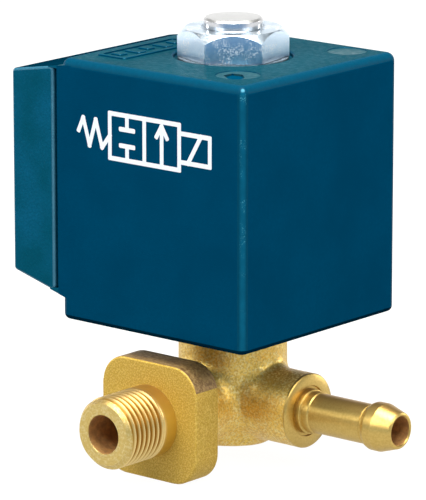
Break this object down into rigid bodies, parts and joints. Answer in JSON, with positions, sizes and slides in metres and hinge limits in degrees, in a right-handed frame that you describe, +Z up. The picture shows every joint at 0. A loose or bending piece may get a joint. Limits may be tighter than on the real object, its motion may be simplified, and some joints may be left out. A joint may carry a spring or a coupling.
{
  "type": "solenoid valve",
  "caption": "Direct-acting two-way solenoid valve: square encapsulated coil on a brass body with a threaded inlet and a barbed hose outlet.",
  "frame": {"origin": "centre of the inlet flange's seating face, on the inlet thread's axis", "axes": "-Y along the inlet thread, away from the valve; +X along the hose tail; +Z up the coil stem"},
  "size_m": [0.0535, 0.0423, 0.0598],
  "materials": {
    "brass_forging": "shot-blasted forging with machined faces",
    "brass_turned": "turned",
    "stainless": "turned, bright",
    "copper": null,
    "seal_rubber": "matte",
    "case_plastic": "moulded, fine spark texture",
    "housing_plastic": "moulded, fine spark texture",
    "bobbin_plastic": "moulded glass-filled nylon",
    "tape": "polyester tape",
    "yoke_steel": "zinc-flashed mild steel",
    "blade_plate": "tin-plated brass strip",
    "zinc_plate": "bright zinc plate",
    "magnetic_stainless": "ground",
    "spring_wire": "drawn wire"
  },
  "bodies": {
    "valve": {"valve_body": "brass_forging", "hose_barb": "brass_turned", "tube_base": "stainless", "armature_tube": "stainless", "fixed_core": "stainless", "shading_ring": "copper", "body_o_ring": "seal_rubber"},
    "coil": {"coil_case": "case_plastic", "case_base": "case_plastic", "terminal_housing": "housing_plastic", "bobbin": "bobbin_plastic", "copper_winding": "copper", "winding_tape": "tape", "winding_leads": "copper", "yoke_frame": "yoke_steel", "yoke_base": "yoke_steel", "flux_sleeve_upper": "yoke_steel", "flux_sleeve_lower": "yoke_steel", "line_blade": "blade_plate", "neutral_blade": "blade_plate", "earth_blade": "blade_plate", "coil_washer": "zinc_plate"},
    "nut": {"coil_nut": "zinc_plate"},
    "plunger": {"plunger": "magnetic_stainless", "plunger_seal": "seal_rubber", "return_spring": "spring_wire"}
  },
  "joints": [
    {"name": "coil_swivel", "type": "hinge", "parent": "valve", "child": "coil", "pos_m": [0, 0.0173, 0.0289], "axis": [0, 0, 1], "continuous": true},
    {"name": "nut_spin", "type": "hinge", "parent": "valve", "child": "nut", "pos_m": [0, 0.0173, 0.0485], "axis": [0, 0, 1], "continuous": true},
    {"name": "plunger_lift", "type": "slide", "parent": "valve", "child": "plunger", "axis": [0, 0, 1], "range_m": [0, 0.0012], "stiffness_N_per_m": 300, "springref_m": -0.003, "deforming": ["return_spring"]}
  ]
}
